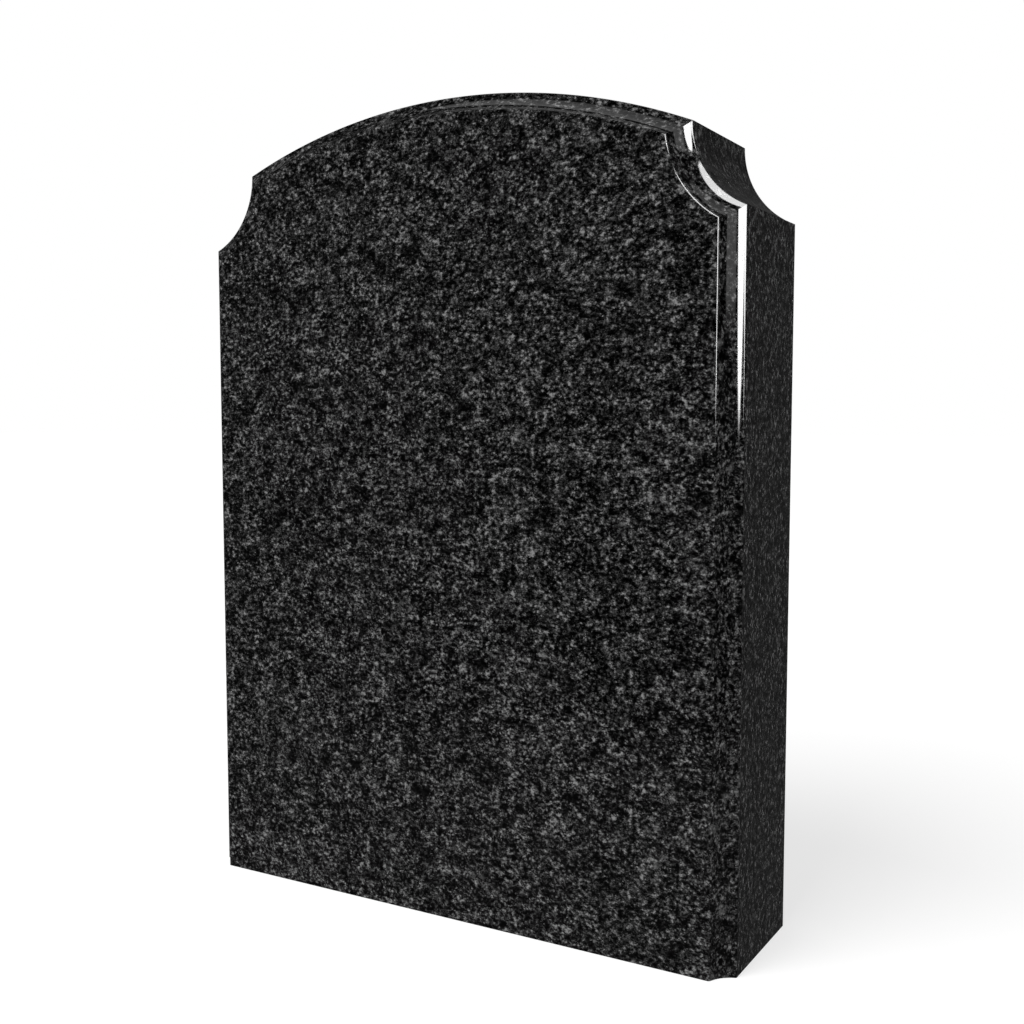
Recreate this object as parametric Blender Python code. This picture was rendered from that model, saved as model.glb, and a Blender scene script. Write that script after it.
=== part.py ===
"""Round top headstone: an upright memorial tablet, worked from one block of granite.

The tablet stands on its underside, which is sawn flat. Its head is a shallow arch between two scooped
shoulders. A cove moulding runs up both sides of the face and over the head, mitred at each corner, and
ends square at the base. The back edges are plain.

Metres, +Z up. The origin is the middle of the underside, the face looks along -Y, and X is the width.
"""

import math

import bmesh
import bpy

INCH = 0.0254

# Outline of the tablet, seen from the front
WIDTH = 24 * INCH
HEIGHT = 32 * INCH
ARCH_RISE = 2 * INCH
SCOOP_WIDTH = 2 * INCH
SCOOP_HEIGHT = 3 * INCH

# Face to back
THICKNESS = 6 * INCH

# Cove moulding, with the hollow of its arc below the straight line between its two edges
COVE_WIDTH = 0.75 * INCH
COVE_DEPTH = 0.75 * INCH
COVE_HOLLOW = 0.125 * INCH

# Eased arrises on both sides of the cove
ARRIS_RADIUS = 0.0625 * INCH

# Steps of each round stretch
ARCH_STEPS = 48
SCOOP_STEPS = 16
COVE_STEPS = 10
ARRIS_STEPS = 4

# Edges that turn more than this stay crisp
CRISP_ANGLE = math.radians(30)

GRANITE_COLOUR = (0.022, 0.022, 0.022, 1.0)
GRANITE_ROUGHNESS = 0.12


def clear_scene():
    """Removes every object, so that the file holds the headstone alone."""
    for obj in list(bpy.data.objects):
        bpy.data.objects.remove(obj, do_unlink=True)


def make_collection(name):
    collection = bpy.data.collections.new(name)
    bpy.context.scene.collection.children.link(collection)
    return collection


def make_granite():
    """Dense black granite with a polish."""
    material = bpy.data.materials.new("polished_granite")
    material.use_nodes = True
    shader = material.node_tree.nodes["Principled BSDF"]
    shader.inputs["Base Color"].default_value = GRANITE_COLOUR
    shader.inputs["Roughness"].default_value = GRANITE_ROUGHNESS
    shader.inputs["Metallic"].default_value = 0.0
    material.diffuse_color = GRANITE_COLOUR
    return material


def arc(centre, radius, start, end, steps):
    """Points along a round stretch from the angle start to the angle end, both ends included."""
    points = []
    for step in range(steps + 1):
        angle = start + (end - start) * step / steps
        points.append((centre[0] + radius * math.cos(angle), centre[1] + radius * math.sin(angle)))
    return points


def angle_to(centre, point):
    return math.atan2(point[1] - centre[1], point[0] - centre[0])


def crossing(centre_a, radius_a, centre_b, radius_b):
    """Where two circles cross, on the left of the way from centre a to centre b."""
    across = centre_b[0] - centre_a[0]
    up = centre_b[1] - centre_a[1]
    distance = math.hypot(across, up)
    along = (distance**2 + radius_a**2 - radius_b**2) / (2 * distance)
    aside = math.sqrt(radius_a**2 - along**2)
    return (
        centre_a[0] + (along * across - aside * up) / distance,
        centre_a[1] + (along * up + aside * across) / distance,
    )


def outline(inset):
    """The tablet's outline in X and Z, moved in by inset all the way round but along the base.

    It runs up the right side, round the right scoop, over the arch and down again on the left. The arch
    and the scoops keep their centres at every inset, so that mouldings stay parallel and corners mitre.
    """
    half_width = WIDTH / 2 - inset
    spring_height = HEIGHT - ARCH_RISE
    half_arch = WIDTH / 2 - SCOOP_WIDTH

    arch_radius = (half_arch**2 + ARCH_RISE**2) / (2 * ARCH_RISE)
    arch_centre = (0.0, HEIGHT - arch_radius)
    arch_inner = arch_radius - inset

    # A scoop starts upright at the end of the arch and comes out at the shoulder
    scoop_radius = (SCOOP_WIDTH**2 + SCOOP_HEIGHT**2) / (2 * SCOOP_WIDTH)
    scoop_centre = (half_arch + scoop_radius, spring_height)
    scoop_inner = scoop_radius + inset

    arch_end = crossing(arch_centre, arch_inner, scoop_centre, scoop_inner)
    shoulder_drop = math.sqrt(scoop_inner**2 - (scoop_centre[0] - half_width) ** 2)
    shoulder = (half_width, scoop_centre[1] - shoulder_drop)

    # Both angles are counted from 0 to a whole turn, because the scoop can pass the half turn
    scoop_start = angle_to(scoop_centre, shoulder) % math.tau
    scoop_end = angle_to(scoop_centre, arch_end) % math.tau
    right_scoop = arc(scoop_centre, scoop_inner, scoop_start, scoop_end, SCOOP_STEPS)
    left_scoop = [(-x, z) for x, z in reversed(right_scoop)]
    arch_start = angle_to(arch_centre, arch_end)
    arch = arc(arch_centre, arch_inner, arch_start, math.pi - arch_start, ARCH_STEPS)
    base = [(-half_width, 0.0), (half_width, 0.0)]
    return base[1:] + right_scoop + arch[1:-1] + left_scoop + base[:1]


def moulding():
    """The section of the edge as (inset, depth) pairs, from the side to the face.

    The cove is an arc through the two edges of the moulding, centred outside the stone. Each eased arris
    is a small arc that meets the cove and the flat beside it without a corner.
    """
    chord = math.hypot(COVE_WIDTH, COVE_DEPTH)
    cove_radius = (chord**2 / 4 + COVE_HOLLOW**2) / (2 * COVE_HOLLOW)
    stand_off = cove_radius - COVE_HOLLOW
    cove_centre = (
        COVE_WIDTH / 2 - stand_off * COVE_DEPTH / chord,
        COVE_DEPTH / 2 - stand_off * COVE_WIDTH / chord,
    )
    reach = cove_radius + ARRIS_RADIUS
    side_reach = math.sqrt(reach**2 - (ARRIS_RADIUS - cove_centre[0]) ** 2)
    face_reach = math.sqrt(reach**2 - (ARRIS_RADIUS - cove_centre[1]) ** 2)
    side_arris = (ARRIS_RADIUS, cove_centre[1] + side_reach)
    face_arris = (cove_centre[0] + face_reach, ARRIS_RADIUS)

    cove_start = angle_to(cove_centre, side_arris)
    cove_end = angle_to(cove_centre, face_arris)
    cove = arc(cove_centre, cove_radius, cove_start, cove_end, COVE_STEPS)
    side_turn = arc(side_arris, ARRIS_RADIUS, math.pi, math.pi + cove_start, ARRIS_STEPS)
    face_turn = arc(face_arris, ARRIS_RADIUS, math.pi + cove_end, math.pi * 3 / 2, ARRIS_STEPS)
    return side_turn + cove[1:-1] + face_turn


def place(face, inset, y):
    """Puts a face's corners on the outline at this inset, and on the plane at y."""
    for vertex, (x, z) in zip(face.verts, outline(inset)):
        vertex.co = (x, y, z)


def extrude(mesh, face):
    """Extrudes one face and returns the new one, whose corners keep their order."""
    grown = bmesh.ops.extrude_face_region(mesh, geom=[face, *face.edges])
    return next(item for item in grown["geom"] if isinstance(item, bmesh.types.BMFace))


def make_headstone(collection, granite):
    """The tablet: its back outline, drawn forward through each line of the moulding to the face."""
    shape = bmesh.new()
    back = THICKNESS / 2
    face = shape.faces.new([shape.verts.new((x, back, z)) for x, z in outline(0.0)])
    for inset, depth in moulding():
        face = extrude(shape, face)
        place(face, inset, depth - THICKNESS / 2)
    bmesh.ops.recalc_face_normals(shape, faces=shape.faces)

    mesh = bpy.data.meshes.new("headstone")
    shape.to_mesh(mesh)
    shape.free()
    mesh.shade_smooth()
    mesh.set_sharp_from_angle(angle=CRISP_ANGLE)
    mesh.materials.append(granite)
    headstone = bpy.data.objects.new("headstone", mesh)
    collection.objects.link(headstone)
    return headstone


clear_scene()
make_headstone(make_collection("round_top_headstone"), make_granite())
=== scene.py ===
"""Round top headstone: the looks of the polished granite tablet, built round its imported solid.

Metres, with the origin in the middle of the underside, the face looking along -Y and X as the width.
"""

import math

import bmesh
import bpy
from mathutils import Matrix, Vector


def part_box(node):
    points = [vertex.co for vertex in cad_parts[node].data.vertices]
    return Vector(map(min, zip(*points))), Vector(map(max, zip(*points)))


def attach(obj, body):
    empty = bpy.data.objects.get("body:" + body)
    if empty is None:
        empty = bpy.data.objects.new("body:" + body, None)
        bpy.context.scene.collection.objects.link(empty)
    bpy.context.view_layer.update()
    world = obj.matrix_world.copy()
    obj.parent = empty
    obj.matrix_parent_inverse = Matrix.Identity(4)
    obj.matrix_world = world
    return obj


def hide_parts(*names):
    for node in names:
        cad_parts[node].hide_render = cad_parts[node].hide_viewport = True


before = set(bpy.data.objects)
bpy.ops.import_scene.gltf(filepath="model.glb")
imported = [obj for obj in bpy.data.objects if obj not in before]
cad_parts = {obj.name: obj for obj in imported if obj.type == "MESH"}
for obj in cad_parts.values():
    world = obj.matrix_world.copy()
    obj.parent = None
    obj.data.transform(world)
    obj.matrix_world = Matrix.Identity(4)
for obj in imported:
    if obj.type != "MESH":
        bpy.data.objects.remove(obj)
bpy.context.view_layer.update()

# Tablet
#
# One slab of dense black granite, six inches thick, sawn to a shallow arch between two scooped shoulders.
# A cove is milled round the face, mitred at its four corners and run out at the base, and the arrises are
# eased by hand. The slab isn't fixed to anything: it stands on its sawn underside by its own weight.

inch = 0.0254
low_corner, high_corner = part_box("headstone")
tablet_width = high_corner.x - low_corner.x
tablet_height = high_corner.z
tablet_back = high_corner.y
tablet_face = low_corner.y

arch_rise = 2 * inch
scoop_width = 2 * inch
scoop_height = 3 * inch
cove_width = 0.735 * inch
cove_depth = 0.75 * inch
cove_hollow = 0.125 * inch
side_arris_radius = inch / 16
face_arris_radius = 0.003
back_arris = 0.0009

# A line drawn this far into each flat beside a rounded edge keeps the flat's shading flat
flat_margin = 0.0004

arch_steps = 128
scoop_steps = 48
cove_steps = 20
arris_steps = 8
crisp_angle = math.radians(14)
facing = 0.99


def round_stretch(centre, radius, start, end, steps):
    """Points along a round stretch from the angle start to the angle end."""
    angles = [start + (end - start) * step / steps for step in range(steps + 1)]
    return [(centre[0] + radius * math.cos(a), centre[1] + radius * math.sin(a)) for a in angles]


def bearing(centre, point):
    return math.atan2(point[1] - centre[1], point[0] - centre[0])


def tablet_outline(inset):
    """The outline in X and Z, moved in by inset except along the base.

    The arch and the scoops keep their centres at every inset, so a moulding stays parallel to the edge
    and its corners meet on true mitres.
    """
    half_width = tablet_width / 2 - inset
    half_arch = tablet_width / 2 - scoop_width
    spring = tablet_height - arch_rise

    arch_radius = (half_arch**2 + arch_rise**2) / (2 * arch_rise)
    arch_centre = (0.0, tablet_height - arch_radius)
    arch_radius -= inset
    scoop_radius = (scoop_width**2 + scoop_height**2) / (2 * scoop_width)
    scoop_centre = (half_arch + scoop_radius, spring)
    scoop_radius += inset

    # Where the arch and the scoop meet, from the distance between their centres
    across = scoop_centre[0]
    up = scoop_centre[1] - arch_centre[1]
    apart = math.hypot(across, up)
    along = (apart**2 + arch_radius**2 - scoop_radius**2) / (2 * apart)
    aside = math.sqrt(arch_radius**2 - along**2)
    arch_end = (
        (along * across - aside * up) / apart,
        arch_centre[1] + (along * up + aside * across) / apart,
    )
    drop = math.sqrt(scoop_radius**2 - (scoop_centre[0] - half_width) ** 2)
    shoulder = (half_width, spring - drop)

    scoop_start = bearing(scoop_centre, shoulder) % math.tau
    scoop_end = bearing(scoop_centre, arch_end) % math.tau
    right_scoop = round_stretch(scoop_centre, scoop_radius, scoop_start, scoop_end, scoop_steps)
    left_scoop = [(-x, z) for x, z in reversed(right_scoop)]
    arch_start = bearing(arch_centre, arch_end)
    arch = round_stretch(arch_centre, arch_radius, arch_start, math.pi - arch_start, arch_steps)
    return [(half_width, 0.0)] + right_scoop + arch[1:-1] + left_scoop + [(-half_width, 0.0)]


def edge_section():
    """The section of the edge from back to face, as (inset, y, worn) for each line drawn along it.

    The cove is an arc through the two edges of the moulding, centred outside the stone, and each eased
    arris is a small arc that runs smoothly into the cove and the flat. Worn is 1 on an arris.
    """
    chord = math.hypot(cove_width, cove_depth)
    cove_radius = (chord**2 / 4 + cove_hollow**2) / (2 * cove_hollow)
    stand_off = cove_radius - cove_hollow
    cove_centre = (
        cove_width / 2 - stand_off * cove_depth / chord,
        cove_depth / 2 - stand_off * cove_width / chord,
    )
    side_reach = cove_radius + side_arris_radius
    face_reach = cove_radius + face_arris_radius
    side_arris = (
        side_arris_radius,
        cove_centre[1] + math.sqrt(side_reach**2 - (side_arris_radius - cove_centre[0]) ** 2),
    )
    face_arris = (
        cove_centre[0] + math.sqrt(face_reach**2 - (face_arris_radius - cove_centre[1]) ** 2),
        face_arris_radius,
    )
    cove_start = bearing(cove_centre, side_arris)
    cove_end = bearing(cove_centre, face_arris)

    turned_back = round_stretch((back_arris, -back_arris), back_arris, math.pi / 2, math.pi, arris_steps)
    lines = [(back_arris + flat_margin, tablet_back, 0.0)]
    lines += [(inset, tablet_back + y, 1.0) for inset, y in turned_back]
    lines.append((0.0, tablet_back - back_arris - flat_margin, 0.0))
    lines.append((0.0, tablet_face + side_arris[1] + flat_margin, 0.0))
    side_turn = round_stretch(side_arris, side_arris_radius, math.pi, math.pi + cove_start, arris_steps)
    lines += [(inset, tablet_face + depth, 1.0) for inset, depth in side_turn]
    cove = round_stretch(cove_centre, cove_radius, cove_start, cove_end, cove_steps)
    lines += [(inset, tablet_face + depth, 0.0) for inset, depth in cove[1:-1]]
    turn_start = math.pi + cove_end
    face_turn = round_stretch(face_arris, face_arris_radius, turn_start, math.pi * 3 / 2, arris_steps)
    lines += [(inset, tablet_face + depth, 1.0) for inset, depth in face_turn]
    lines.append((face_turn[-1][0] + flat_margin, tablet_face, 0.0))
    return lines


def cut_tablet():
    """Draws the back of the slab forward through each line of the edge, up to the face."""
    slab = bmesh.new()
    wear = slab.verts.layers.float.new("arris")
    section = edge_section()
    back = section[0][1]
    face = slab.faces.new([slab.verts.new((x, back, z)) for x, z in tablet_outline(section[0][0])])
    for inset, y, worn in section[1:]:
        grown = bmesh.ops.extrude_face_region(slab, geom=[face, *face.edges])
        face = next(item for item in grown["geom"] if isinstance(item, bmesh.types.BMFace))
        for corner, (x, z) in zip(face.verts, tablet_outline(inset)):
            corner.co = (x, y, z)
            corner[wear] = worn

    # The strips along the base all lie on the saw cut, so they become one face
    level = 1e-6
    strips = [f for f in slab.faces if all(abs(corner.co.z) < level for corner in f.verts)]
    bmesh.ops.dissolve_faces(slab, faces=strips)
    bmesh.ops.recalc_face_normals(slab, faces=slab.faces)
    mesh = bpy.data.meshes.new("tablet")
    slab.to_mesh(mesh)
    slab.free()
    return mesh


# The grain runs through the whole block: black matrix, clumps of grey crystals and a few bright ones.
# Polish, hone and saw show the same grain, so all three finishes take it from one group. Scales are in
# spots per metre, and the bedding draws the grain out along the width.
bedding = (0.75, 1.3, 0.95)
noise_roughness = 0.55
wander_scale = 422
wander_reach = 0.0054
black_below = 0.2
climb_power = 6.0
climb_gain = 15.4
brightest_tone = 0.18

# How deep each finish leaves the surface uneven, in metres
polish_relief = 0.000003
hone_relief = 0.00003
saw_relief = 0.0002


def join(tree, source, target):
    """Links a socket, or sets the plain value."""
    if isinstance(source, bpy.types.NodeSocket):
        tree.links.new(source, target)
    else:
        target.default_value = source


def calculate(tree, operation, *values):
    """One step of arithmetic on sockets or plain values."""
    node = tree.nodes.new("ShaderNodeMath")
    node.operation = operation
    for value, socket in zip(values, node.inputs):
        join(tree, value, socket)
    return node.outputs[0]


def spread(tree, value, low, high, new_low, new_high, ease="LINEAR"):
    """Maps a value from one range to another, held at both ends."""
    node = tree.nodes.new("ShaderNodeMapRange")
    node.interpolation_type = ease
    for amount, socket in zip((value, low, high, new_low, new_high), node.inputs):
        join(tree, amount, socket)
    return node.outputs["Result"]


def soft_noise(tree, where, scale, detail, shift):
    """A noise node, moved by shift so that no two layers repeat each other."""
    moved = tree.nodes.new("ShaderNodeMapping")
    moved.inputs["Location"].default_value = shift
    join(tree, where, moved.inputs["Vector"])
    noise = tree.nodes.new("ShaderNodeTexNoise")
    noise.inputs["Scale"].default_value = scale
    noise.inputs["Detail"].default_value = detail
    noise.inputs["Roughness"].default_value = noise_roughness
    join(tree, moved.outputs[0], noise.inputs["Vector"])
    return noise


def speckle(tree, where, scale, detail=1.0, shift=(0.0, 0.0, 0.0)):
    """Soft noise, centred on 0 and mostly between -1 and 1."""
    noise = soft_noise(tree, where, scale, detail, shift)
    return calculate(tree, "MULTIPLY_ADD", noise.outputs["Fac"], 2.5, -1.25)


def split_into_crystals(tree, where, scale):
    """The distance from the middle of the crystal here, and its random values from 0 to 1."""
    cell = tree.nodes.new("ShaderNodeTexVoronoi")
    cell.inputs["Scale"].default_value = scale
    join(tree, where, cell.inputs["Vector"])
    parts = tree.nodes.new("ShaderNodeSeparateColor")
    join(tree, cell.outputs["Color"], parts.inputs[0])
    return cell.outputs["Distance"], parts.outputs


def crystals(tree, where, scale):
    """One random value for each crystal, from -0.5 to 0.5."""
    chance = split_into_crystals(tree, where, scale)[1]
    return calculate(tree, "SUBTRACT", chance[0], 0.5)


def flecks(tree, where, scale, rarity, heart, rim):
    """1 in the heart of each rare crystal, fading to 0 at its rim, and 0 in all the others."""
    distance, chance = split_into_crystals(tree, where, scale)
    rare = calculate(tree, "GREATER_THAN", chance[1], rarity)
    return calculate(tree, "MULTIPLY", rare, spread(tree, distance, rim, heart, 0.0, 1.0, "SMOOTHSTEP"))


def make_granite_grain():
    """The grain at a point of the block: its tone, and how bright its crystal is, about 0.35 to 0.65."""
    group = bpy.data.node_groups.new("granite_grain", "ShaderNodeTree")
    group.interface.new_socket("Position", in_out="INPUT", socket_type="NodeSocketVector")
    group.interface.new_socket("Tone", in_out="OUTPUT", socket_type="NodeSocketFloat")
    group.interface.new_socket("Crystal", in_out="OUTPUT", socket_type="NodeSocketFloat")
    entry = group.nodes.new("NodeGroupInput")
    result = group.nodes.new("NodeGroupOutput")

    bedded = group.nodes.new("ShaderNodeMapping")
    bedded.inputs["Scale"].default_value = bedding
    join(group, entry.outputs["Position"], bedded.inputs["Vector"])
    where = bedded.outputs[0]

    # Crystals have crooked edges, so the place where a cell is looked up wanders a little
    wander = soft_noise(group, where, wander_scale, 1.0, (1, 2, 3))
    centred = group.nodes.new("ShaderNodeVectorMath")
    centred.operation = "SUBTRACT"
    join(group, wander.outputs["Color"], centred.inputs[0])
    centred.inputs[1].default_value = (0.5, 0.5, 0.5)
    moved = group.nodes.new("ShaderNodeVectorMath")
    moved.operation = "MULTIPLY_ADD"
    join(group, centred.outputs[0], moved.inputs[0])
    moved.inputs[1].default_value = (wander_reach,) * 3
    join(group, where, moved.inputs[2])
    crooked = moved.outputs[0]

    # The fine speckle is livelier in some places than in others
    lively = calculate(group, "MULTIPLY_ADD", speckle(group, where, 54, 0.0, (6, 6, 1)), 0.31, 1.0)
    tone = calculate(group, "MULTIPLY", speckle(group, where, 312, detail=1.8), lively)
    clumps = speckle(group, where, 127, shift=(3, 1, 7))
    clouds = speckle(group, where, 26, shift=(5, 2, 9))
    small_crystals = crystals(group, crooked, 520)
    large_crystals = crystals(group, crooked, 230)
    dust = speckle(group, where, 804, detail=0.0, shift=(2, 8, 4))
    pools = calculate(group, "SUBTRACT", speckle(group, where, 62, 0.0, (9, 3, 5)), 0.2)
    dark_pools = calculate(group, "MAXIMUM", pools, 0.0)
    for layer, share in (
        (clumps, 0.53),
        (clouds, 0.05),
        (small_crystals, 0.35),
        (large_crystals, 0.26),
        (dust, 0.3),
        (dark_pools, -0.38),
    ):
        tone = calculate(group, "MULTIPLY_ADD", layer, share, tone)

    # Here and there a large crystal of feldspar shows as an even grey patch, and mica as a bright point.
    # Each patch draws the tone some way towards its own.
    feldspar = flecks(group, crooked, 85, rarity=0.93, heart=0.15, rim=0.6)
    patch = calculate(group, "MULTIPLY", calculate(group, "SUBTRACT", 0.65, tone), feldspar)
    tone = calculate(group, "MULTIPLY_ADD", patch, 0.55, tone)
    mica = flecks(group, crooked, 720, rarity=0.93, heart=0.1, rim=0.45)
    tone = calculate(group, "MULTIPLY_ADD", mica, 0.75, tone)
    crystal = calculate(group, "MULTIPLY_ADD", tone, 0.25, 0.5)

    # Most of the stone stays near black: the tone climbs steeply with the crystal, and then levels off
    above_black = calculate(group, "MAXIMUM", calculate(group, "SUBTRACT", crystal, black_below), 0.0)
    climb = calculate(group, "MULTIPLY", calculate(group, "POWER", above_black, climb_power), climb_gain)
    join(group, calculate(group, "MINIMUM", climb, brightest_tone), result.inputs["Tone"])
    join(group, crystal, result.inputs["Crystal"])
    return group


granite_grain = make_granite_grain()


def start_finish(name):
    """A new finish with the grain in it: (material, tree, shader, grain, object position)."""
    material = bpy.data.materials.new(name)
    material.use_nodes = True
    tree = material.node_tree
    place = tree.nodes.new("ShaderNodeTexCoord")
    grain = tree.nodes.new("ShaderNodeGroup")
    grain.node_tree = granite_grain
    join(tree, place.outputs["Object"], grain.inputs["Position"])
    return material, tree, tree.nodes["Principled BSDF"], grain, place.outputs["Object"]


def add_relief(tree, height, depth, shader):
    """Raises the surface by up to depth where the height is 1."""
    bump = tree.nodes.new("ShaderNodeBump")
    bump.inputs["Strength"].default_value = 1.0
    bump.inputs["Distance"].default_value = depth
    join(tree, height, bump.inputs["Height"])
    join(tree, bump.outputs["Normal"], shader.inputs["Normal"])


def polished_granite():
    """Face, mouldings, sides and top, polished to a mirror. The eased arrises are a little bruised."""
    material, tree, shader, grain, place = start_finish("polished_granite")
    arris = tree.nodes.new("ShaderNodeAttribute")
    arris.attribute_name = "arris"
    bruises = spread(tree, speckle(tree, place, 160, shift=(4, 4, 1)), 0.15, 0.8, 0.0, 1.0)
    worn = calculate(tree, "MULTIPLY", arris.outputs["Fac"], bruises)
    tone = calculate(tree, "MULTIPLY_ADD", worn, 0.02, grain.outputs["Tone"])
    join(tree, tone, shader.inputs["Base Color"])
    gloss = spread(tree, grain.outputs["Crystal"], 0.35, 0.65, 0.05, 0.072)
    join(tree, calculate(tree, "MULTIPLY_ADD", worn, 0.04, gloss), shader.inputs["Roughness"])
    add_relief(tree, speckle(tree, place, 90, shift=(2, 6, 6)), polish_relief, shader)
    return material


def honed_granite():
    """The back, honed to an even sheen and left unpolished."""
    material, tree, shader, grain, place = start_finish("honed_granite")
    join(tree, spread(tree, grain.outputs["Tone"], 0.0, 0.3, 0.011, 0.24), shader.inputs["Base Color"])
    smears = speckle(tree, place, 9, detail=2.0, shift=(7, 3, 2))
    sheen = spread(tree, smears, -0.8, 0.8, 0.36, 0.46)
    join(tree, sheen, shader.inputs["Roughness"])
    add_relief(tree, grain.outputs["Crystal"], hone_relief, shader)
    return material


def sawn_granite():
    """The underside, as it left the saw: pale with dust, and scored by the blade."""
    material, tree, shader, grain, place = start_finish("sawn_granite")
    join(tree, spread(tree, grain.outputs["Tone"], 0.0, 0.3, 0.055, 0.3), shader.inputs["Base Color"])
    score = tree.nodes.new("ShaderNodeTexWave")
    score.bands_direction = "Y"
    score.inputs["Scale"].default_value = 90.0
    score.inputs["Distortion"].default_value = 1.5
    score.inputs["Detail"].default_value = 2.0
    score.inputs["Detail Scale"].default_value = 0.4
    join(tree, place, score.inputs["Vector"])
    join(tree, spread(tree, score.outputs["Fac"], 0.0, 1.0, 0.72, 0.82), shader.inputs["Roughness"])
    height = calculate(tree, "MULTIPLY_ADD", grain.outputs["Crystal"], 0.6, score.outputs["Fac"])
    add_relief(tree, height, saw_relief, shader)
    return material


tablet_mesh = cut_tablet()
tablet_mesh.shade_smooth()
tablet_mesh.set_sharp_from_angle(angle=crisp_angle)
for finish in (polished_granite(), honed_granite(), sawn_granite()):
    tablet_mesh.materials.append(finish)
for facet in tablet_mesh.polygons:
    if facet.normal.y > facing:
        facet.material_index = 1
    elif facet.normal.z < -facing:
        facet.material_index = 2
tablet = bpy.data.objects.new("tablet", tablet_mesh)
bpy.context.scene.collection.objects.link(tablet)
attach(tablet, "root")
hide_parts("headstone")

# Floor
#
# A white acrylic light table that runs far past the view, lit a little from below so that the shadow of
# the tablet stays faint. The polish doesn't mirror it, as black felt would hide it in a real studio.

floor_size = 60.0
floor_drop = 0.0002
acrylic_grey = (0.32, 0.32, 0.32, 1.0)
acrylic_glow = 0.7
floor_sheet = bmesh.new()
bmesh.ops.create_grid(floor_sheet, x_segments=1, y_segments=1, size=floor_size / 2)
bmesh.ops.translate(floor_sheet, verts=floor_sheet.verts, vec=(0, 0, -floor_drop))
floor_mesh = bpy.data.meshes.new("floor")
floor_sheet.to_mesh(floor_mesh)
floor_sheet.free()
floor = bpy.data.objects.new("floor", floor_mesh)
bpy.context.scene.collection.objects.link(floor)
acrylic = bpy.data.materials.new("white_acrylic")
acrylic.use_nodes = True
acrylic_shader = acrylic.node_tree.nodes["Principled BSDF"]
acrylic_shader.inputs["Base Color"].default_value = acrylic_grey
acrylic_shader.inputs["Roughness"].default_value = 0.9
acrylic_shader.inputs["Specular IOR Level"].default_value = 0.0
acrylic_shader.inputs["Emission Color"].default_value = (1.0, 1.0, 1.0, 1.0)
acrylic_shader.inputs["Emission Strength"].default_value = acrylic_glow
floor_mesh.materials.append(acrylic)
floor.visible_glossy = False

# Studio light
#
# A pale room lights the stone from all round, and a large soft key comes from above the left shoulder.
# The polish mirrors a dark room, where two round lamps in front and a square one to the right draw the
# bands on the cove, and a wide dim lamp overhead shows along the arch.

studio = bpy.data.worlds.new("studio")
studio.use_nodes = True
bpy.context.scene.world = studio
studio.cycles.sampling_method = "NONE"
room = studio.node_tree

direction = room.nodes.new("ShaderNodeTexCoord").outputs["Generated"]
axes = room.nodes.new("ShaderNodeSeparateXYZ")
join(room, direction, axes.inputs[0])
toward_front = calculate(room, "MULTIPLY", axes.outputs["Y"], -1.0)
azimuth = calculate(room, "ARCTAN2", axes.outputs["X"], toward_front)
elevation = calculate(room, "ARCSINE", axes.outputs["Z"])


def within(value, reach, edge):
    """1 where the value is less than reach, and 0 beyond, with a soft edge."""
    return spread(room, value, reach + edge, reach - edge, 0.0, 1.0, "SMOOTHSTEP")


def between(value, start, end, edge):
    """1 from the start to the end, and 0 beyond them, with a soft edge."""
    off_centre = calculate(room, "SUBTRACT", value, (start + end) / 2)
    return within(calculate(room, "ABSOLUTE", off_centre), (end - start) / 2, edge)


def round_lamp(across, up, half_width, half_height, radiance, edge=0.06):
    """A round lamp as the stone mirrors it, seen a little from the side, so that it looks oval.

    Across and up place its middle, in degrees round from the front and up from the floor. The half
    width and height are in degrees too, and the edge is a share of them.
    """
    across, up = math.radians(across), math.radians(up)
    middle = (math.sin(across) * math.cos(up), -math.cos(across) * math.cos(up), math.sin(up))
    sideways = (math.cos(across), math.sin(across), 0.0)
    upward = (-math.sin(across) * math.sin(up), math.cos(across) * math.sin(up), math.cos(up))
    along = []
    for axis in (middle, sideways, upward):
        share = room.nodes.new("ShaderNodeVectorMath")
        share.operation = "DOT_PRODUCT"
        join(room, direction, share.inputs[0])
        share.inputs[1].default_value = axis
        along.append(share.outputs["Value"])
    ahead = calculate(room, "MAXIMUM", along[0], 0.001)
    aside = calculate(room, "DIVIDE", along[1], ahead)
    above = calculate(room, "DIVIDE", along[2], ahead)
    aside = calculate(room, "DIVIDE", aside, math.tan(math.radians(half_width)))
    above = calculate(room, "DIVIDE", above, math.tan(math.radians(half_height)))
    squared = calculate(room, "MULTIPLY_ADD", aside, aside, calculate(room, "MULTIPLY", above, above))
    return calculate(room, "MULTIPLY", within(calculate(room, "SQRT", squared), 1.0, edge), radiance)


def wall(around, reach, elevations, radiance, side_edge=10.0, level_edge=2.0):
    """A square lamp, or a dim stretch of wall or floor.

    Its reach round the room, its elevations and the softness of its edges are in degrees.
    """
    across = between(around, *map(math.radians, (*reach, side_edge)))
    upright = between(elevation, *map(math.radians, (*elevations, level_edge)))
    return calculate(room, "MULTIPLY", calculate(room, "MULTIPLY", across, upright), radiance)


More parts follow.
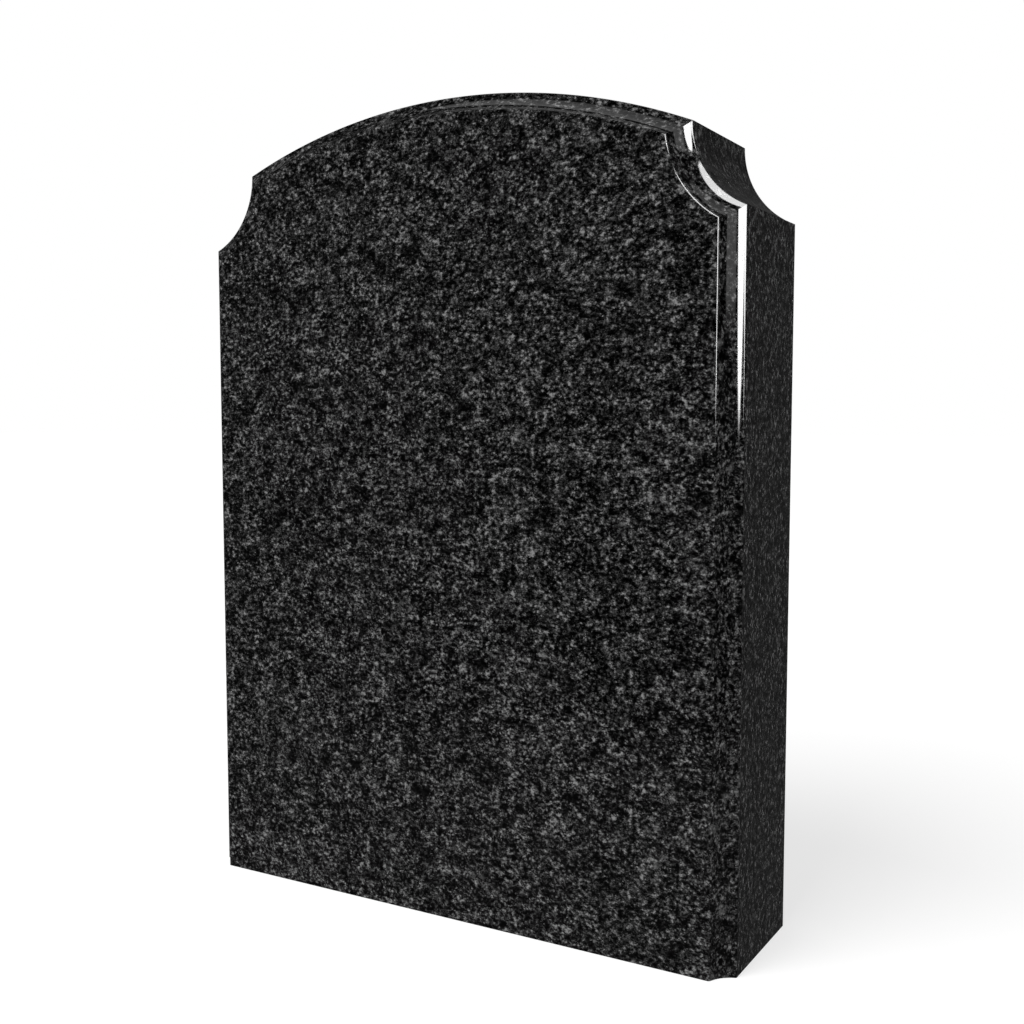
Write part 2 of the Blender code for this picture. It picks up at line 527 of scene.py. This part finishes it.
# The two round lamps, the square one, the lamp overhead, the floor, and three dim stretches of wall
off_front = calculate(room, "ABSOLUTE", azimuth)
dark_room = 0.008
mirrored = dark_room
for glow in (
    round_lamp(35.9, 14.4, 11.5, 14.5, 26.0),
    round_lamp(9.0, 44.2, 16.0, 15.8, 17.0),
    wall(azimuth, (52.5, 87), (4.8, 33), 1.2, side_edge=1.5, level_edge=1.0),
    round_lamp(180.0, 84.0, 33.8, 20.6, 0.6, edge=0.1),
    wall(off_front, (-1, 181), (-91, -14.5), 0.037),
    wall(azimuth, (-120, -33), (-14.5, 40), 0.02),
    wall(off_front, (130, 200), (-14.5, 24), 0.034),
    wall(azimuth, (130, 200), (24, 40), 0.09),
):
    mirrored = calculate(room, "ADD", mirrored, glow)

rays = room.nodes.new("ShaderNodeLightPath")
room_light = 0.29
shown = calculate(room, "MULTIPLY_ADD", rays.outputs["Is Camera Ray"], 1.0 - room_light, room_light)
pick = room.nodes.new("ShaderNodeMix")
pick.data_type = "FLOAT"
join(room, rays.outputs["Is Glossy Ray"], pick.inputs["Factor"])
join(room, shown, pick.inputs["A"])
join(room, mirrored, pick.inputs["B"])
join(room, pick.outputs["Result"], room.nodes["Background"].inputs["Strength"])
room.nodes["Background"].inputs["Color"].default_value = (1.0, 1.0, 1.0, 1.0)

key_lamp = bpy.data.lights.new("key", "SUN")
key_lamp.energy = 3.35
key_lamp.angle = math.radians(40)
key = bpy.data.objects.new("key", key_lamp)
key.rotation_euler = (math.radians(40), 0, math.radians(-25))
key.visible_glossy = False
bpy.context.scene.collection.objects.link(key)
bpy.context.scene.view_settings.view_transform = "Standard"

# Camera
#
# A full-frame camera on a stand, in front of the tablet and to its right. It is a little above the middle
# of the stone and looks slightly down.

camera_view = bpy.data.cameras.new("camera")
camera_view.sensor_width = 36.0
camera_view.lens = 43.456
camera_view.clip_end = 100.0
camera = bpy.data.objects.new("camera", camera_view)
camera.location = (0.672414, -1.089076, 0.504723)
camera.rotation_euler = (math.radians(85.543), 0, math.radians(30.236))
bpy.context.scene.collection.objects.link(camera)
bpy.context.scene.camera = camera
